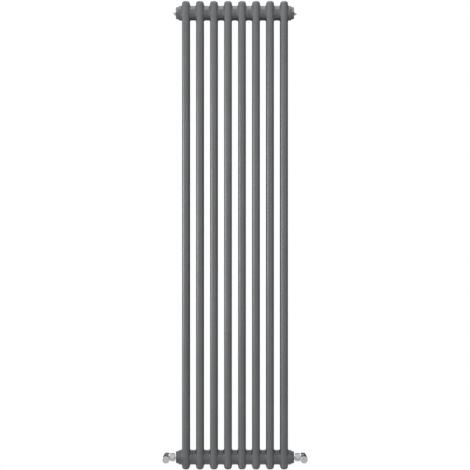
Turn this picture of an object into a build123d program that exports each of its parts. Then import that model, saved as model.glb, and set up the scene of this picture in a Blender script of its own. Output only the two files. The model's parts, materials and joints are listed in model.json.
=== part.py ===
from build123d import *
import os

os.makedirs("parts", exist_ok=True)

# A tall two-column steel radiator: eight welded sections, four painted end bushes, an air
# vent and a blanking plug at the top, and an angle valve at each end of the bottom hub.
# Frame: millimetres, +Z up, the wall on the +Y side, the room on the -Y side.  The origin
# is the middle of the neck between sections 4 and 5 of the top hub.

# ---------------------------------------------------------------- driving dimensions
SECTIONS = 8
PITCH = 45.0              # section to section along X
HEIGHT = 1502.0           # over the heads
HUB_CC = 1430.0           # top hub axis to bottom hub axis
TUBE_D = 25.0             # column tube outside diameter
TUBE_WALL = 1.5
TUBE_Y = 18.5             # column axis from the mid plane, front and rear
SHEET = 2.0               # wall of the pressed heads

HEAD_TOP = (HEIGHT - HUB_CC) / 2      # hub axis to the end of the head
HEAD_LEG = 60.0                       # hub axis to the weld with the tubes
HEAD_HALF_W = 12.5                    # half width along X
HEAD_HALF_D = TUBE_Y + TUBE_D / 2     # half depth along Y
HEAD_ROUND = 9.0                      # rounding of the crown's rim
ARCH_Z = -50.0                        # foot of the arch between the two legs
ARCH_HALF = TUBE_Y - 1.0              # its half width, just inside the leg axes
ARCH_RISE = 22.0
HUB_R = 23.4                          # hub neck radius
HUB_BLEND = 5.0                       # blend from the neck to the head

ZT = 0.0                  # top hub axis
ZB = -HUB_CC              # bottom hub axis
HUB_END = SECTIONS * PITCH / 2        # open hub ends at x = +-180
RING_R = HUB_R - SHEET    # inside of the hub
G1_R = 16.6               # 1 inch thread, bush into hub ring
G38_R = 8.33              # 3/8 inch thread, valve tail into bush
G18_R = 4.9               # 1/8 inch thread, vent and plug into bush
BUSH_FACE = HUB_END + 10.0            # outer face of a bush
BUSH_AF = 36.0
FLANGE_R = 21.0
FLANGE_T = 3.5
SEAL_T = 1.8
PLUG_R = 7.0              # vent and blanking plug collar

VALVE_X = BUSH_FACE + 30.0            # valve axis, parallel to Y
BARREL_R = 10.8
SPIGOT_R = 8.3            # 3/8 inch male inlet thread
INLET_END = -45.0         # rear end of the inlet, measured towards the room
SEAT_V = -12.0            # seat face
BORE_R = 6.0
CHAMBER_R = 8.9
BODY_FRONT = 15.0
CAP_R = 11.25
CAP_BACK = 20.0
CAP_FRONT = 57.0
CAP_WALL = 1.6
NUT_AF = 24.0


def save(piece, label):
    """Label a finished piece and write its STEP file."""
    piece.part.label = label
    export_step(piece.part, "parts/" + label + ".step")
    return piece


# ---------------------------------------------------------------- heads and tubes
def leg_gap(inset):
    """Space between the two legs of a head: an arch above, a round leg on each side."""
    with BuildPart() as gap:
        with BuildSketch(Plane.YZ) as arch:
            with Locations((0, ARCH_Z)):
                Ellipse(ARCH_HALF + inset, ARCH_RISE + inset)
            with Locations((0, (ARCH_Z - HEAD_LEG - 2) / 2)):
                Rectangle(2 * (ARCH_HALF + inset), HEAD_LEG + 2 + ARCH_Z)
            Rectangle(2 * ARCH_HALF, 4 * HEAD_LEG, mode=Mode.INTERSECT)
        extrude(arch.sketch, amount=HEAD_HALF_W + 4, both=True)
        with Locations((0, -TUBE_Y, -HEAD_LEG / 2), (0, TUBE_Y, -HEAD_LEG / 2)):
            Cylinder(TUBE_D / 2 - inset, HEAD_LEG + 10, mode=Mode.SUBTRACT)
    return gap


def head_block(inset):
    """A head without its hub necks, its surface moved inwards by inset."""
    with BuildPart() as block:
        with BuildSketch(Plane.XY.offset(-HEAD_LEG)) as plan:
            SlotOverall(2 * (HEAD_HALF_D - inset), 2 * (HEAD_HALF_W - inset), rotation=90)
        extrude(plan.sketch, amount=HEAD_LEG + HEAD_TOP - inset)
        fillet(block.faces().sort_by(Axis.Z)[-1].edges(), HEAD_ROUND - inset)
        add(leg_gap(inset).part, mode=Mode.SUBTRACT)
    return block


# the space inside a head, one sheet thickness in from the outside
with BuildPart() as head_cavity:
    add(head_block(SHEET).part)
    with BuildSketch(Plane.YZ) as hub_bore:
        Circle(RING_R)
    extrude(hub_bore.sketch, amount=PITCH / 2, both=True)

# one head at the top hub: a shell with two legs and a hub neck on each side
with BuildPart() as head:
    add(head_block(0.0).part)
    with BuildSketch(Plane.YZ) as neck:
        Circle(HUB_R)
    extrude(neck.sketch, amount=PITCH / 2, both=True)
    # the curve where the neck leaves the head, blended all the way round
    neck_root = head.edges().filter_by(
        lambda e: abs(e.center().X) < HEAD_HALF_W + 1
        and all(abs((p.Y ** 2 + p.Z ** 2) ** 0.5 - HUB_R) < 1e-3 for p in (e @ 0, e @ 0.37, e @ 1))
    )
    fillet(neck_root, HUB_BLEND)
    # weld grooves: the neck ends are broken by a small chamfer
    neck_ends = head.edges().filter_by(GeomType.CIRCLE).filter_by(
        lambda e: abs(abs(e.center().X) - PITCH / 2) < 1e-3)
    chamfer(neck_ends, 0.3)
    add(head_cavity.part, mode=Mode.SUBTRACT)

# the bottom heads are the same pressing turned upside down
with BuildPart() as head_low:
    add(head.part)
    mirror(about=Plane.XY, mode=Mode.REPLACE)

for n in range(SECTIONS):
    x = (n - (SECTIONS - 1) / 2) * PITCH

    with BuildPart() as top_head:
        with Locations((x, 0, ZT)):
            add(head.part)
    save(top_head, f"section_{n + 1}_top_head")

    with BuildPart() as bottom_head:
        with Locations((x, 0, ZB)):
            add(head_low.part)
    save(bottom_head, f"section_{n + 1}_bottom_head")

    # the front and rear column of this section
    with BuildPart() as tubes:
        with BuildSketch(Plane.XY.offset(ZB + HEAD_LEG)):
            with Locations((x, -TUBE_Y), (x, TUBE_Y)):
                Circle(TUBE_D / 2)
                Circle(TUBE_D / 2 - TUBE_WALL, mode=Mode.SUBTRACT)
        extrude(amount=HUB_CC - 2 * HEAD_LEG)
        tube_ends = tubes.edges().filter_by(GeomType.CIRCLE).filter_by(
            lambda e: abs(e.radius - TUBE_D / 2) < 1e-3)
        chamfer(tube_ends, 0.3)
    save(tubes, f"section_{n + 1}_tubes")


# ---------------------------------------------------------------- hub ends
def end_plane(side, z, x=0.0):
    """Plane square to the hub, local x along +Y, normal pointing out of that end."""
    return Plane(origin=(side * x, 0, z), x_dir=(0, 1, 0) if side > 0 else (0, -1, 0),
                 z_dir=(side, 0, 0))


def turned_plane(side, z):
    """Plane holding the hub axis: local x outwards along the hub, local y towards the wall."""
    return Plane(origin=(0, 0, z), x_dir=(side, 0, 0), z_dir=(0, 0, side))


ENDS = [(-1, ZT), (1, ZT), (-1, ZB), (1, ZB)]

# the threaded steel ring welded into each open hub end
with BuildPart() as rings:
    for side, z in ENDS:
        with BuildSketch(turned_plane(side, z)):
            with BuildLine():
                Polyline((HUB_END - 15, G1_R), (HUB_END - 15, RING_R), (HUB_END, RING_R),
                         (HUB_END, G1_R + 2.6), (HUB_END - SEAL_T, G1_R + 2.6),
                         (HUB_END - SEAL_T, G1_R), close=True)
            make_face()
        revolve(axis=Axis((0, 0, z), (side, 0, 0)))
save(rings, "hub_thread_rings")

# the rubber ring in each recess, squeezed by the bush flange
with BuildPart() as seals:
    for side, z in ENDS:
        with BuildSketch(turned_plane(side, z)):
            with BuildLine():
                Polyline((HUB_END - SEAL_T, G1_R + 0.05), (HUB_END - SEAL_T, G1_R + 2.5),
                         (HUB_END, G1_R + 2.5), (HUB_END, G1_R + 0.05), close=True)
            make_face()
        revolve(axis=Axis((0, 0, z), (side, 0, 0)))
save(seals, "bush_seal_rings")


def end_bush(side, z, bore_r, label):
    """A flanged reducing bush with a hexagon, screwed into a hub end."""
    with BuildPart() as bush:
        with BuildSketch(end_plane(side, z, HUB_END - 14)):
            Circle(G1_R - 0.05)
        extrude(amount=14)
        with BuildSketch(end_plane(side, z, HUB_END)):
            Circle(FLANGE_R)
        extrude(amount=FLANGE_T)
        rim = bush.edges().filter_by(GeomType.CIRCLE).filter_by(
            lambda e: abs(e.radius - FLANGE_R) < 1e-3 and abs(e.center().X) > HUB_END + 1)
        fillet(rim, 1.4)
        with BuildSketch(end_plane(side, z, HUB_END + FLANGE_T)):
            RegularPolygon(BUSH_AF / 2, 6, major_radius=False)
        extrude(amount=BUSH_FACE - HUB_END - FLANGE_T)
        # the turned chamfer over the corners of the hexagon
        with BuildSketch(turned_plane(side, z)):
            with BuildLine():
                Polyline((HUB_END - 20, 0), (HUB_END - 20, 30), (BUSH_FACE - 2.6, 30),
                         (BUSH_FACE - 2.6, 21.3), (BUSH_FACE, BUSH_AF / 2 - 0.7),
                         (BUSH_FACE, 0), close=True)
            make_face()
        revolve(axis=Axis((0, 0, z), (side, 0, 0)), mode=Mode.INTERSECT)
        with BuildSketch(end_plane(side, z, HUB_END - 14)):
            Circle(bore_r)
        extrude(amount=14 + BUSH_FACE - HUB_END, mode=Mode.SUBTRACT)
        if bore_r < 6:
            with BuildSketch(end_plane(side, z, HUB_END - 14)):
                Circle(12.6)
            extrude(amount=14, mode=Mode.SUBTRACT)
        mouth = bush.edges().filter_by(GeomType.CIRCLE).filter_by(
            lambda e: abs(e.radius - bore_r) < 1e-3 and abs(abs(e.center().X) - BUSH_FACE) < 1e-3)
        chamfer(mouth, 0.5)
    save(bush, label)


end_bush(-1, ZT, G18_R, "top_left_bush")
end_bush(1, ZT, G18_R, "top_right_bush")
end_bush(-1, ZB, G38_R, "bottom_left_bush")
end_bush(1, ZB, G38_R, "bottom_right_bush")

# ---------------------------------------------------------------- air vent and blanking plug
PLUG_SEAT = BUSH_FACE + 1.2           # collar face, above its sealing ring
PLUG_OUT = PLUG_SEAT + 3.8            # outer face of the collar
PLUG_TIP = BUSH_FACE + 9.2            # end of the key square or hexagon

with BuildPart() as plug_seals:
    for side in (-1, 1):
        with BuildSketch(end_plane(side, ZT, BUSH_FACE)):
            Circle(PLUG_R - 0.4)
            Circle(G18_R + 0.6, mode=Mode.SUBTRACT)
        extrude(amount=PLUG_SEAT - BUSH_FACE)
save(plug_seals, "plug_seal_rings")

with BuildPart() as vent_body:
    with BuildSketch(turned_plane(-1, ZT)):
        with BuildLine():
            Polyline((BUSH_FACE - 8, 1.2), (BUSH_FACE - 8, G18_R - 0.45), (BUSH_FACE - 7.6, G18_R - 0.05),
                     (PLUG_SEAT, G18_R - 0.05), (PLUG_SEAT, PLUG_R), (PLUG_OUT - 0.9, PLUG_R),
                     (PLUG_OUT, PLUG_R - 0.9), (PLUG_OUT, 2.6), (BUSH_FACE - 1.0, 2.6),
                     (BUSH_FACE - 2.6, 1.2), close=True)
        make_face()
    revolve(axis=Axis((0, 0, ZT), (-1, 0, 0)))
    # the weep hole points down out of the collar
    with BuildSketch(Plane(origin=(-(PLUG_SEAT + 1.9), 0, ZT), x_dir=(1, 0, 0), z_dir=(0, 0, -1))):
        Circle(0.75)
    extrude(amount=PLUG_R + 1, mode=Mode.SUBTRACT)
save(vent_body, "air_vent_body")

with BuildPart() as vent_screw:
    with BuildSketch(turned_plane(-1, ZT)):
        with BuildLine():
            Polyline((BUSH_FACE - 2.25, 0), (BUSH_FACE - 2.25, 0.9), (BUSH_FACE - 0.75, 2.3),
                     (BUSH_FACE - 0.55, 2.53), (PLUG_OUT + 0.2, 2.53), (PLUG_OUT + 0.2, 0), close=True)
        make_face()
    revolve(axis=Axis((0, 0, ZT), (-1, 0, 0)))
    with BuildSketch(end_plane(-1, ZT, PLUG_OUT + 0.2)):
        Rectangle(4.9, 4.9)
    extrude(amount=PLUG_TIP - PLUG_OUT - 0.2)
    chamfer(vent_screw.faces().sort_by(Axis.X)[0].edges(), 0.4)
save(vent_screw, "air_vent_screw")

with BuildPart() as blank_plug:
    with BuildSketch(turned_plane(1, ZT)):
        with BuildLine():
            Polyline((BUSH_FACE - 8, 0), (BUSH_FACE - 8, G18_R - 0.45), (BUSH_FACE - 7.6, G18_R - 0.05),
                     (PLUG_SEAT, G18_R - 0.05), (PLUG_SEAT, PLUG_R), (PLUG_OUT - 0.9, PLUG_R),
                     (PLUG_OUT, PLUG_R - 0.9), (PLUG_OUT, 0), close=True)
        make_face()
    revolve(axis=Axis((0, 0, ZT), (1, 0, 0)))
    with BuildSketch(end_plane(1, ZT, PLUG_OUT)):
        RegularPolygon(4.0, 6, major_radius=False)
    extrude(amount=PLUG_TIP - PLUG_OUT)
    chamfer(blank_plug.faces().sort_by(Axis.X)[-1].edges(), 0.4)
save(blank_plug, "blanking_plug")


# ---------------------------------------------------------------- the two angle valves
# Each valve is described by v, the distance from the hub axis towards the room along -Y,
# and by u, the distance from the valve axis towards the radiator.
def axial_plane(side):
    """Plane holding the valve axis: local x towards the radiator, local y towards the wall."""
    return Plane(origin=(side * VALVE_X, 0, ZB), x_dir=(-side, 0, 0), z_dir=(0, 0, -side))


def valve_axis(side):
    return Axis((side * VALVE_X, 0, ZB), (0, -1, 0))


def across_plane(side, v):
    """Plane square to the valve axis at v, normal towards the room."""
    return Plane(origin=(side * VALVE_X, -v, ZB), x_dir=(1, 0, 0), z_dir=(0, -1, 0))


def union_plane(side, u):
    """Plane square to the union at u, normal towards the radiator, local x along Y."""
    return Plane(origin=(side * (VALVE_X - u), 0, ZB), x_dir=(0, side, 0), z_dir=(-side, 0, 0))


def union_axial(side):
    """Plane holding the union axis: local x towards the radiator, local y along Y."""
    return Plane(origin=(side * VALVE_X, 0, ZB), x_dir=(-side, 0, 0), z_dir=(0, 0, -side))


def union_axis(side):
    return Axis((side * VALVE_X, 0, ZB), (-side, 0, 0))


BOSS_END = 21.2           # end of the side outlet, along u
COLLAR = 22.0             # tail collar face, along u
LIP = 24.0                # inside of the union nut's lip
NUT_END = 25.8
NUT_START = 11.4
FACE_U = VALVE_X - BUSH_FACE          # the bush face, along u
TRAVEL = 3.75             # lift of the disc, two and a half turns of a 1.5 mm thread
STEM_AF = 9.5
GUIDE_AF = 10.1
SHANK_R = 2.95
JOURNAL_R = 3.0
GLAND_R = 3.1


def fixed_parts(side, name):
    """Body, union and tail of one valve."""
    with BuildPart() as body:
        # turned barrel, rounded towards the inlet, with the threaded inlet behind
        with BuildSketch(axial_plane(side)):
            with BuildLine():
                Polyline((0, -INLET_END), (7.5, -INLET_END), (SPIGOT_R, -INLET_END - 0.8), (SPIGOT_R, 34.5),
                         (7.5, 34.0), (7.5, 33.0), (9.3, 33.0), (9.3, 26.0))
                ThreePointArc((9.3, 26.0), (10.42, 23.6), (BARREL_R, 20.5))
                Polyline((BARREL_R, 20.5), (BARREL_R, -(BODY_FRONT - 0.8)), (BARREL_R - 0.8, -BODY_FRONT),
                         (0, -BODY_FRONT), (0, -INLET_END))
            make_face()
        revolve(axis=valve_axis(side))
        # hexagon for holding the body while the pipe nut is turned
        with BuildSketch(across_plane(side, -33.0)):
            RegularPolygon(9.5, 6, major_radius=False)
        extrude(amount=6.0)
        with BuildSketch(axial_plane(side)):
            with BuildLine():
                Polyline((0, 46), (10.2, 46), (10.2, 33), (10.85, 32), (10.85, -16), (0, -16), close=True)
            make_face()
        revolve(axis=valve_axis(side), mode=Mode.INTERSECT)
        # side outlet, threaded outside for the union nut
        with BuildSketch(union_plane(side, 0)):
            Circle(9.9)
        extrude(amount=BOSS_END)
        outlet_rim = body.edges().filter_by(GeomType.CIRCLE).filter_by(
            lambda e: abs(abs(e.center().X) - (VALVE_X - BOSS_END)) < 1e-3)
        chamfer(outlet_rim, 0.5)
        # waterway: inlet, seat with a raised land, chamber, side outlet
        with BuildSketch(axial_plane(side)):
            with BuildLine():
                Polyline((0, 46), (BORE_R + 0.6, 46), (BORE_R + 0.6, 45), (BORE_R, 44.4), (BORE_R, -SEAT_V),
                         (7.2, -SEAT_V), (7.2, -SEAT_V + 1.2), (CHAMBER_R, -SEAT_V + 1.2),
                         (CHAMBER_R, -BODY_FRONT - 1), (0, -BODY_FRONT - 1), close=True)
            make_face()
        revolve(axis=valve_axis(side), mode=Mode.SUBTRACT)
        with BuildSketch(union_plane(side, 0)):
            Circle(BORE_R)
        extrude(amount=BOSS_END + 1, mode=Mode.SUBTRACT)
    save(body, name + "_valve_body")

    with BuildPart() as gasket:
        with BuildSketch(union_plane(side, BOSS_END)):
            Circle(9.2)
            Circle(BORE_R + 0.3, mode=Mode.SUBTRACT)
        extrude(amount=COLLAR - BOSS_END)
    save(gasket, name + "_union_gasket")

    with BuildPart() as tail:
        with BuildSketch(union_axial(side)):
            with BuildLine():
                Polyline((COLLAR, 0), (COLLAR, 9.6), (LIP, 9.6), (LIP, 7.4), (FACE_U, 7.4),
                         (FACE_U, G38_R - 0.04), (FACE_U + 12, G38_R - 0.04), (FACE_U + 13, 7.4),
                         (FACE_U + 13, 0), close=True)
            make_face()
        revolve(axis=union_axis(side))
        # waterway with a hexagon at the nut end for the fitting key
        with BuildSketch(union_plane(side, COLLAR)):
            Circle(5.0)
        extrude(amount=30, mode=Mode.SUBTRACT)
        with BuildSketch(union_plane(side, COLLAR)):
            RegularPolygon(5.5, 6, major_radius=False)
        extrude(amount=8, mode=Mode.SUBTRACT)
    save(tail, name + "_tail_piece")

    with BuildPart() as nut:
        with BuildSketch(union_plane(side, NUT_START)):
            RegularPolygon(NUT_AF / 2, 6, major_radius=False)
        extrude(amount=NUT_END - NUT_START)
        with BuildSketch(union_axial(side)):
            with BuildLine():
                Polyline((NUT_START, 0), (NUT_START, 11.8), (NUT_START + 1.4, 14.0), (NUT_END - 1.6, 14.0),
                         (NUT_END, 11.4), (NUT_END, 0), close=True)
            make_face()
        revolve(axis=union_axis(side), mode=Mode.INTERSECT)
        with BuildSketch(union_axial(side)):
            with BuildLine():
                Polyline((NUT_START - 1, 0), (NUT_START - 1, 10.5), (NUT_START, 10.5), (NUT_START + 0.5, 10.0),
                         (LIP, 10.0), (LIP, 7.5), (NUT_END + 1, 7.5), (NUT_END + 1, 0), close=True)
            make_face()
        revolve(axis=union_axis(side), mode=Mode.SUBTRACT)
    save(nut, name + "_union_nut")

    with BuildPart() as bonnet:
        # plug that screws into the body, flange hexagon, and the neck in front of it
        with BuildSketch(axial_plane(side)):
            with BuildLine():
                Polyline((0, -4), (CHAMBER_R - 0.45, -4), (CHAMBER_R - 0.05, -4.4), (CHAMBER_R - 0.05, -15.8),
                         (8.0, -15.8), (8.0, -19.0), (6.2, -19.0), (6.2, -24.6), (5.8, -25.0), (0, -25.0),
                         close=True)
            make_face()
        revolve(axis=valve_axis(side))
        with BuildSketch(across_plane(side, 15.8)):
            RegularPolygon(9.5, 6, major_radius=False)
        extrude(amount=3.2)
        # hexagon guide for the disc stem, collar recess, gland bore, gland nut thread
        with BuildSketch(across_plane(side, 3.0)):
            RegularPolygon(GUIDE_AF / 2, 6, major_radius=False)
        extrude(amount=9.8, mode=Mode.SUBTRACT)
        with BuildSketch(axial_plane(side)):
            with BuildLine():
                Polyline((0, -12), (4.9, -12), (4.9, -15.4), (GLAND_R, -15.4), (GLAND_R, -21.5),
                         (4.5, -21.5), (4.5, -26), (0, -26), close=True)
            make_face()
        revolve(axis=valve_axis(side), mode=Mode.SUBTRACT)
    save(bonnet, name + "_bonnet")

    with BuildPart() as bonnet_seal:
        with BuildSketch(across_plane(side, BODY_FRONT)):
            Circle(9.9)
            Circle(CHAMBER_R + 0.05, mode=Mode.SUBTRACT)
        extrude(amount=0.8)
    save(bonnet_seal, name + "_bonnet_seal")

    with BuildPart() as gland:
        with BuildSketch(across_plane(side, 21.8)):
            Circle(4.45)
        extrude(amount=3.2)
        with BuildSketch(across_plane(side, 25.0)):
            RegularPolygon(5.0, 6, major_radius=False)
        extrude(amount=3.0)
        with BuildSketch(across_plane(side, 21.8)):
            Circle(GLAND_R)
        extrude(amount=7, mode=Mode.SUBTRACT)
    save(gland, name + "_gland_nut")

    # the disc carrier: a cup for the washer on a hexagon stem with a threaded hole
    with BuildPart() as carrier:
        with BuildSketch(axial_plane(side)):
            with BuildLine():
                Polyline((0, -SEAT_V - 2.6), (0, -SEAT_V + 0.5), (2.5, -SEAT_V + 0.5), (2.5, -SEAT_V - 0.1),
                         (1.5, -SEAT_V - 0.1), (1.5, -SEAT_V - 2.6), (7.45, -SEAT_V - 2.6),
                         (7.45, -SEAT_V - 1.2), (7.9, -SEAT_V - 1.2), (7.9, -SEAT_V - 4.4),
                         (7.5, -SEAT_V - 4.8), (0, -SEAT_V - 4.8), close=True)
            make_face()
        revolve(axis=valve_axis(side))
        with BuildSketch(across_plane(side, SEAT_V + 4.8)):
            RegularPolygon(STEM_AF / 2, 6, major_radius=False)
        extrude(amount=8.5 - SEAT_V - 4.8)
        with BuildSketch(across_plane(side, -6.0)):
            Circle(SHANK_R + 0.1)
        extrude(amount=20, mode=Mode.SUBTRACT)
    save(carrier, name + "_disc_carrier")

    with BuildPart() as washer:
        with BuildSketch(across_plane(side, SEAT_V + 0.1)):
            Circle(7.4)
            Circle(1.55, mode=Mode.SUBTRACT)
        extrude(amount=2.5)
    save(washer, name + "_disc_washer")

    # the two sealing rings that sit in the spindle's grooves
    with BuildPart() as orings:
        for v in (16.6, 19.2):
            with BuildSketch(across_plane(side, v)):
                Circle(GLAND_R - 0.05)
                Circle(2.2, mode=Mode.SUBTRACT)
            extrude(amount=1.2)
    save(orings, name + "_spindle_orings")


def spindle_profile(side, end):
    """Turned spindle: threaded shank, thrust collar, journal with two grooves."""
    with BuildSketch(axial_plane(side)) as profile:
        with BuildLine():
            Polyline((0, 1.5), (SHANK_R - 0.5, 1.5), (SHANK_R, 1.0), (SHANK_R, -13.2), (4.6, -13.2),
                     (4.6, -15.2), (JOURNAL_R, -15.2), (JOURNAL_R, -16.6), (2.2, -16.6), (2.2, -17.8),
                     (JOURNAL_R, -17.8), (JOURNAL_R, -19.2), (2.2, -19.2), (2.2, -20.4),
                     (JOURNAL_R, -20.4), (JOURNAL_R, -end), (0, -end), close=True)
        make_face()
    return profile


for side, name in ((-1, "control"), (1, "lockshield")):
    fixed_parts(side, name)

# control valve: the spindle ends in a square that carries the head
with BuildPart() as control_spindle:
    revolve(spindle_profile(-1, 28.6).sketch, axis=valve_axis(-1))
    with BuildSketch(across_plane(-1, 28.6)):
        Rectangle(4.2, 4.2)
    extrude(amount=9.4)
    with BuildSketch(across_plane(-1, 30.0)):
        Circle(1.25)
    extrude(amount=20, mode=Mode.SUBTRACT)
save(control_spindle, "control_spindle")

# the turning head: a shell with a fluted grip and a square-socketed boss inside
FLUTES = 20
with BuildPart() as control_head:
    with BuildSketch(axial_plane(-1)):
        with BuildLine():
            Polyline((CAP_R - CAP_WALL, -CAP_BACK), (CAP_R - 0.4, -CAP_BACK), (CAP_R, -CAP_BACK - 0.4),
                     (CAP_R, -CAP_FRONT + 1.4))
            ThreePointArc((CAP_R, -CAP_FRONT + 1.4), (CAP_R - 0.41, -CAP_FRONT + 0.41), (CAP_R - 1.4, -CAP_FRONT))
            Polyline((CAP_R - 1.4, -CAP_FRONT), (8.4, -CAP_FRONT), (8.4, -55.4), (3.2, -55.4), (3.2, -41.5),
                     (1.7, -41.5), (1.7, -29.0), (5.2, -29.0), (5.2, -52.0), (CAP_R - CAP_WALL, -52.0),
                     (CAP_R - CAP_WALL, -CAP_BACK))
        make_face()
    revolve(axis=valve_axis(-1))
    # square socket on the spindle
    with BuildSketch(across_plane(-1, 28.0)):
        Rectangle(4.4, 4.4)
    extrude(amount=10.4, mode=Mode.SUBTRACT)
    # shallow flutes for the fingers, behind the smooth front rim
    with BuildSketch(across_plane(-1, CAP_BACK + 3.0)):
        with PolarLocations(CAP_R + 0.95, FLUTES):
            Circle(1.35)
    extrude(amount=24.0, mode=Mode.SUBTRACT)
save(control_head, "control_head")

with BuildPart() as head_cover:
    with BuildSketch(across_plane(-1, 55.4)):
        Circle(8.3)
    extrude(amount=1.5)
    fillet(head_cover.edges().filter_by(GeomType.CIRCLE).sort_by(Axis.Y)[0], 0.5)
save(head_cover, "control_head_cover")

with BuildPart() as head_screw:
    with BuildSketch(across_plane(-1, 31.5)):
        Circle(1.2)
    extrude(amount=10.0)
    with BuildSketch(across_plane(-1, 41.5)):
        Circle(2.75)
    extrude(amount=2.4)
    with BuildSketch(across_plane(-1, 42.5)):
        RegularPolygon(1.25, 6, major_radius=False)
    extrude(amount=3, mode=Mode.SUBTRACT)
save(head_screw, "control_head_screw")

# lockshield valve: a short square with a screwdriver slot, under a plain screw cap
with BuildPart() as lock_spindle:
    revolve(spindle_profile(1, 28.6).sketch, axis=valve_axis(1))
    with BuildSketch(across_plane(1, 28.6)):
        Rectangle(4.2, 4.2)
    extrude(amount=5.4)
    with BuildSketch(across_plane(1, 32.4)):
        Rectangle(1.0, 7.0)
    extrude(amount=4, mode=Mode.SUBTRACT)
save(lock_spindle, "lockshield_spindle")

with BuildPart() as lock_cap:
    with BuildSketch(axial_plane(1)):
        with BuildLine():
            Polyline((6.5, -CAP_BACK - 0.5), (CAP_R - CAP_WALL, -CAP_BACK), (CAP_R - 0.4, -CAP_BACK),
                     (CAP_R, -CAP_BACK - 0.4), (CAP_R, -CAP_FRONT + 1.4))
            ThreePointArc((CAP_R, -CAP_FRONT + 1.4), (CAP_R - 0.41, -CAP_FRONT + 0.41), (CAP_R - 1.4, -CAP_FRONT))
            Polyline((CAP_R - 1.4, -CAP_FRONT), (8.4, -CAP_FRONT), (8.4, -56.5), (0, -56.5), (0, -54.4),
                     (CAP_R - CAP_WALL, -54.4), (CAP_R - CAP_WALL, -24.0), (6.5, -24.0),
                     (6.5, -CAP_BACK - 0.5))
        make_face()
    revolve(axis=valve_axis(1))
save(lock_cap, "lockshield_cap")
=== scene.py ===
import json
import math

import bmesh
import bpy
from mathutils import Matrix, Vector


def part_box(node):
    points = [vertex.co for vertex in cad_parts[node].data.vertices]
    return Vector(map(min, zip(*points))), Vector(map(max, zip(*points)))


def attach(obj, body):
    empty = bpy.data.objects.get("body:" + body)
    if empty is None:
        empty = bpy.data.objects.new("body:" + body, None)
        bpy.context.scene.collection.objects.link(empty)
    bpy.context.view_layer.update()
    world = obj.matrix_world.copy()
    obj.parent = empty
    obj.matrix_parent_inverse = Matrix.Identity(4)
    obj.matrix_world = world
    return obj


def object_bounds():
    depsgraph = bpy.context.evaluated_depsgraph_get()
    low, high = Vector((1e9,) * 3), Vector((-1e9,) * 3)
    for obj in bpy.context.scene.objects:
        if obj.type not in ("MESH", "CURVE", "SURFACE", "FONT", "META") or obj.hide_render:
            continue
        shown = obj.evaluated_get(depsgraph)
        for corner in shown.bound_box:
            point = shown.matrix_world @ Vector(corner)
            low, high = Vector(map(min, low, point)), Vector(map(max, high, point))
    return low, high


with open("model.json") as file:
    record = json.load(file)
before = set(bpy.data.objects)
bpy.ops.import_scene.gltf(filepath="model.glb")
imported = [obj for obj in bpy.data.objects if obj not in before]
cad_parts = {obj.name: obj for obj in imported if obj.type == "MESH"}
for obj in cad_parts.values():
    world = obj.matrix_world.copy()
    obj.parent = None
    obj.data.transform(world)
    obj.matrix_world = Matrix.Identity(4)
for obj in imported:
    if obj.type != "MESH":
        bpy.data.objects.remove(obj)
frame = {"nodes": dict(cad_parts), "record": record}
cad_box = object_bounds()
scene = bpy.context.scene

# ---------------------------------------------------------------- colour management
scene.view_settings.view_transform = "Standard"
scene.view_settings.look = "None"
scene.view_settings.exposure = 0.0
scene.view_settings.gamma = 1.0

# ---------------------------------------------------------------- places, from the frame
lo4, hi4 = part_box("section_4_tubes")
lo5, hi5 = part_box("section_5_top_head")
lob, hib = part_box("section_5_bottom_head")
FRONT_Y = lo4[1] + (hi4[0] - lo4[0]) / 2          # axis plane of the front columns
MID_Z = (hi5[2] + lob[2]) / 2                      # middle of the radiator's height

# ---------------------------------------------------------------- camera
cam_data = bpy.data.cameras.new("camera")
cam = bpy.data.objects.new("camera", cam_data)
scene.collection.objects.link(cam)
cam_data.sensor_width = 36.0
cam_data.lens = 106.5
cam_data.clip_start = 0.05
cam_data.clip_end = 60
cam.location = (0.0, FRONT_Y - 4.46, MID_Z + 0.0006)
cam.rotation_euler = (math.radians(90), 0, 0)
scene.camera = cam


# ---------------------------------------------------------------- node helpers
def material(name):
    m = bpy.data.materials.new(name)
    m.use_nodes = True
    nt = m.node_tree
    b = next(n for n in nt.nodes if n.type == "BSDF_PRINCIPLED")
    return m, nt, b


def coords(nt):
    return nt.nodes.new("ShaderNodeTexCoord").outputs["Object"]


def noise(nt, vec, scale, detail=2.0, rough=0.5, distortion=0.0):
    n = nt.nodes.new("ShaderNodeTexNoise")
    n.inputs["Scale"].default_value = scale
    n.inputs["Detail"].default_value = detail
    n.inputs["Roughness"].default_value = rough
    n.inputs["Distortion"].default_value = distortion
    nt.links.new(vec, n.inputs["Vector"])
    return n.outputs["Fac"]


def span(nt, fac, a, b, c, d):
    """Maps a..b to c..d."""
    n = nt.nodes.new("ShaderNodeMapRange")
    n.inputs["From Min"].default_value = a
    n.inputs["From Max"].default_value = b
    n.inputs["To Min"].default_value = c
    n.inputs["To Max"].default_value = d
    nt.links.new(fac, n.inputs["Value"])
    return n.outputs["Result"]


def blend_colour(nt, fac, a, b):
    n = nt.nodes.new("ShaderNodeMix")
    n.data_type = "RGBA"
    n.inputs["A"].default_value = (*a, 1)
    n.inputs["B"].default_value = (*b, 1)
    nt.links.new(fac, n.inputs["Factor"])
    return n.outputs["Result"]


def bump(nt, height, strength, distance, normal=None):
    n = nt.nodes.new("ShaderNodeBump")
    n.inputs["Strength"].default_value = strength
    n.inputs["Distance"].default_value = distance
    nt.links.new(height, n.inputs["Height"])
    if normal is not None:
        nt.links.new(normal, n.inputs["Normal"])
    return n.outputs["Normal"]


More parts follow.
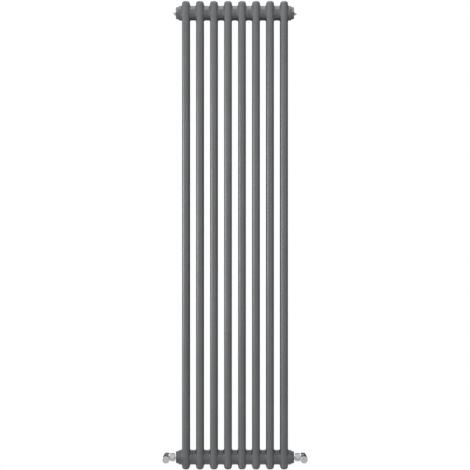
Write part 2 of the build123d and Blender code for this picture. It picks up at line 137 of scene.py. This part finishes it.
# ---------------------------------------------------------------- materials
def paint():
    """Satin anthracite enamel: faint orange peel, fine powder grain, slight unevenness of tone."""
    m, nt, b = material("anthracite_enamel")
    v = coords(nt)
    tone = noise(nt, v, 9.0, 3.0, 0.55)
    nt.links.new(blend_colour(nt, span(nt, tone, 0.3, 0.7, 0, 1), (0.083, 0.086, 0.0905), (0.096, 0.0995, 0.104)),
                 b.inputs["Base Color"])
    cloud = noise(nt, v, 38.0, 4.0, 0.6)
    nt.links.new(span(nt, cloud, 0.3, 0.7, 0.30, 0.38), b.inputs["Roughness"])
    peel = noise(nt, v, 420.0, 2.0, 0.5)
    grain = noise(nt, v, 1800.0, 2.0, 0.6)
    n1 = bump(nt, peel, 0.35, 0.00018)
    nt.links.new(bump(nt, grain, 0.25, 0.00005, n1), b.inputs["Normal"])
    b.inputs["Specular IOR Level"].default_value = 0.5
    b.inputs["IOR"].default_value = 1.5
    return m


def chrome(name="polished_chrome", rough=(0.10, 0.19)):
    m, nt, b = material(name)
    v = coords(nt)
    b.inputs["Metallic"].default_value = 1.0
    cloud = noise(nt, v, 120.0, 3.0, 0.6)
    nt.links.new(blend_colour(nt, cloud, (0.50, 0.505, 0.51), (0.62, 0.625, 0.63)), b.inputs["Base Color"])
    smear = noise(nt, v, 60.0, 5.0, 0.65, 0.6)
    nt.links.new(span(nt, smear, 0.3, 0.75, *rough), b.inputs["Roughness"])
    wave = noise(nt, v, 160.0, 2.0, 0.5)
    nt.links.new(bump(nt, wave, 0.12, 0.0001), b.inputs["Normal"])
    return m


def brass():
    m, nt, b = material("turned_brass")
    v = coords(nt)
    b.inputs["Metallic"].default_value = 1.0
    cloud = noise(nt, v, 90.0, 4.0, 0.6)
    nt.links.new(blend_colour(nt, cloud, (0.62, 0.47, 0.20), (0.74, 0.58, 0.29)), b.inputs["Base Color"])
    nt.links.new(span(nt, cloud, 0.3, 0.7, 0.2, 0.34), b.inputs["Roughness"])
    fine = noise(nt, v, 2500.0, 2.0, 0.6)
    nt.links.new(bump(nt, fine, 0.2, 0.00003), b.inputs["Normal"])
    return m


def steel():
    m, nt, b = material("turned_steel")
    v = coords(nt)
    b.inputs["Metallic"].default_value = 1.0
    cloud = noise(nt, v, 110.0, 4.0, 0.6)
    nt.links.new(blend_colour(nt, cloud, (0.42, 0.42, 0.43), (0.56, 0.56, 0.57)), b.inputs["Base Color"])
    nt.links.new(span(nt, cloud, 0.3, 0.7, 0.26, 0.4), b.inputs["Roughness"])
    fine = noise(nt, v, 2200.0, 2.0, 0.6)
    nt.links.new(bump(nt, fine, 0.2, 0.00003), b.inputs["Normal"])
    return m


def rubber():
    m, nt, b = material("black_seal_rubber")
    v = coords(nt)
    cloud = noise(nt, v, 300.0, 3.0, 0.6)
    nt.links.new(blend_colour(nt, cloud, (0.018, 0.018, 0.019), (0.032, 0.032, 0.033)), b.inputs["Base Color"])
    nt.links.new(span(nt, cloud, 0.3, 0.7, 0.55, 0.75), b.inputs["Roughness"])
    fine = noise(nt, v, 1500.0, 2.0, 0.6)
    nt.links.new(bump(nt, fine, 0.3, 0.00006), b.inputs["Normal"])
    return m


SLOTS = {"painted_steel": paint(), "chrome_plate": chrome(), "nickel_brass": brass(),
         "bare_steel": steel(), "rubber_seal": rubber()}
slot_of = {s["node"]: s["material_slot"] for s in frame["record"]["subparts"]}
for node, obj in frame["nodes"].items():
    new = SLOTS[slot_of[node]]
    if not obj.material_slots:
        obj.data.materials.append(new)
    for s in obj.material_slots:
        s.material = new

# ---------------------------------------------------------------- inlet threads
def thread(name, x, z, y0, y1, radius, height, pitch, body, slot):
    """A helical ridge on a plain spigot whose axis runs along Y."""
    per_turn = 56
    steps = int((y1 - y0) / pitch * per_turn)
    rings, faces = [], []
    for i in range(steps + 1):
        a = 2 * math.pi * i / per_turn
        y = y0 + (y1 - y0) * i / steps
        fade = min(1.0, i / 20, (steps - i) / 20)
        for dy, h in ((-0.36 * pitch, -0.0001), (0.0, height * fade), (0.36 * pitch, -0.0001)):
            r = radius + h
            rings.append((x + r * math.cos(a), y + dy, z + r * math.sin(a)))
    for i in range(steps):
        for k in range(3):
            p, q = 3 * i + k, 3 * i + (k + 1) % 3
            faces.append((p, q, q + 3, p + 3))
    faces.append((2, 1, 0))
    faces.append((3 * steps, 3 * steps + 1, 3 * steps + 2))
    mesh = bpy.data.meshes.new(name)
    mesh.from_pydata(rings, [], faces)
    mesh.update()
    bm = bmesh.new()
    bm.from_mesh(mesh)
    bmesh.ops.recalc_face_normals(bm, faces=bm.faces)
    bm.to_mesh(mesh)
    bm.free()
    o = bpy.data.objects.new(name, mesh)
    scene.collection.objects.link(o)
    o.data.materials.append(SLOTS[slot])
    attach(o, body)
    return o


for valve in ("control", "lockshield"):
    lo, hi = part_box(valve + "_valve_body")
    clo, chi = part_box(valve + "_bonnet")
    thread(valve + "_inlet_thread", (clo[0] + chi[0]) / 2, (clo[2] + chi[2]) / 2,
           hi[1] - 0.0098, hi[1] - 0.0006, 0.0083, 0.00024, 0.001337, "radiator", "chrome_plate")

# ---------------------------------------------------------------- floor
bpy.ops.mesh.primitive_plane_add(size=1, location=(0, -0.85, cad_box[0][2] - 0.135))
floor = bpy.context.object
floor.name = "floor"
floor.scale = (3.4, 2.9, 1)
fm, fnt, fb = material("pale_floor")
fb.inputs["Base Color"].default_value = (0.72, 0.72, 0.72, 1)
fb.inputs["Roughness"].default_value = 0.8
floor.data.materials.append(fm)

# ---------------------------------------------------------------- light
world = bpy.data.worlds.new("studio")
scene.world = world
world.use_nodes = True
wt = world.node_tree
wt.nodes.clear()
out = wt.nodes.new("ShaderNodeOutputWorld")
mix = wt.nodes.new("ShaderNodeMixShader")
path = wt.nodes.new("ShaderNodeLightPath")
seen = wt.nodes.new("ShaderNodeBackground")
seen.inputs["Color"].default_value = (1, 1, 1, 1)
seen.inputs["Strength"].default_value = 1.0
room = wt.nodes.new("ShaderNodeBackground")
tc = wt.nodes.new("ShaderNodeTexCoord")
sep = wt.nodes.new("ShaderNodeSeparateXYZ")
wt.links.new(tc.outputs["Generated"], sep.inputs["Vector"])


def wmath(op, a, b):
    n = wt.nodes.new("ShaderNodeMath")
    n.operation = op
    for i, x in enumerate((a, b)):
        if isinstance(x, (int, float)):
            n.inputs[i].default_value = x
        else:
            wt.links.new(x, n.inputs[i])
    return n.outputs[0]


def wstep(x, a, b, c, d):
    """Smooth step of x from a..b to c..d."""
    n = wt.nodes.new("ShaderNodeMapRange")
    n.interpolation_type = "SMOOTHSTEP"
    n.inputs["From Min"].default_value = a
    n.inputs["From Max"].default_value = b
    n.inputs["To Min"].default_value = c
    n.inputs["To Max"].default_value = d
    wt.links.new(x, n.inputs["Value"])
    return n.outputs["Result"]


# bright in front, dim behind, with a soft bright patch behind and above, and a paler left wall
side = wmath("MULTIPLY", sep.outputs["X"], -0.10)
rise = wmath("MULTIPLY", sep.outputs["Z"], 0.22)
depth = wmath("MULTIPLY", sep.outputs["Y"], -0.66)
front = wmath("MAXIMUM", wmath("ADD", wmath("ADD", wmath("ADD", side, rise), depth), 0.33), 0.04)
above = wmath("MULTIPLY", wstep(sep.outputs["Z"], 0.12, 0.40, 0, 1.3), wstep(sep.outputs["Y"], 0.0, 0.3, 0, 1))
middle = wstep(wmath("ABSOLUTE", sep.outputs["X"], 0.0), 0.25, 0.6, 1, 0)
wall = wstep(sep.outputs["X"], -0.98, -0.75, 0.5, 0)
level = wmath("ADD", wmath("ADD", front, wmath("MULTIPLY", above, middle)), wall)
wt.links.new(level, room.inputs["Strength"])
room.inputs["Color"].default_value = (0.985, 0.99, 1.0, 1)
wt.links.new(path.outputs["Is Camera Ray"], mix.inputs["Fac"])
wt.links.new(room.outputs[0], mix.inputs[1])
wt.links.new(seen.outputs[0], mix.inputs[2])
wt.links.new(mix.outputs[0], out.inputs["Surface"])


def panel(name, loc, target, size, power, size_y=None):
    d = bpy.data.lights.new(name, "AREA")
    d.shape = "RECTANGLE"
    d.size = size
    d.size_y = size_y or size
    d.energy = power
    o = bpy.data.objects.new(name, d)
    scene.collection.objects.link(o)
    o.location = loc
    o.rotation_mode = "QUATERNION"
    o.rotation_quaternion = (Vector(target) - Vector(loc)).to_track_quat("-Z", "Y")
    o.visible_camera = False
    return o


panel("left_softbox", (-3.0, -0.9, MID_Z + 0.15), (0, 0, MID_Z + 0.05), 1.0, 55, 1.3)
panel("front_fill", (-1.6, -4.2, MID_Z + 1.6), (0, 0, MID_Z), 2.0, 20)
panel("right_fill", (2.2, -3.2, MID_Z + 0.6), (0, 0, MID_Z), 1.6, 15)
panel("crown_light", (0, -0.12, cad_box[1][2] + 0.5), (0, 0, cad_box[1][2]), 0.7, 3.2, 0.35)
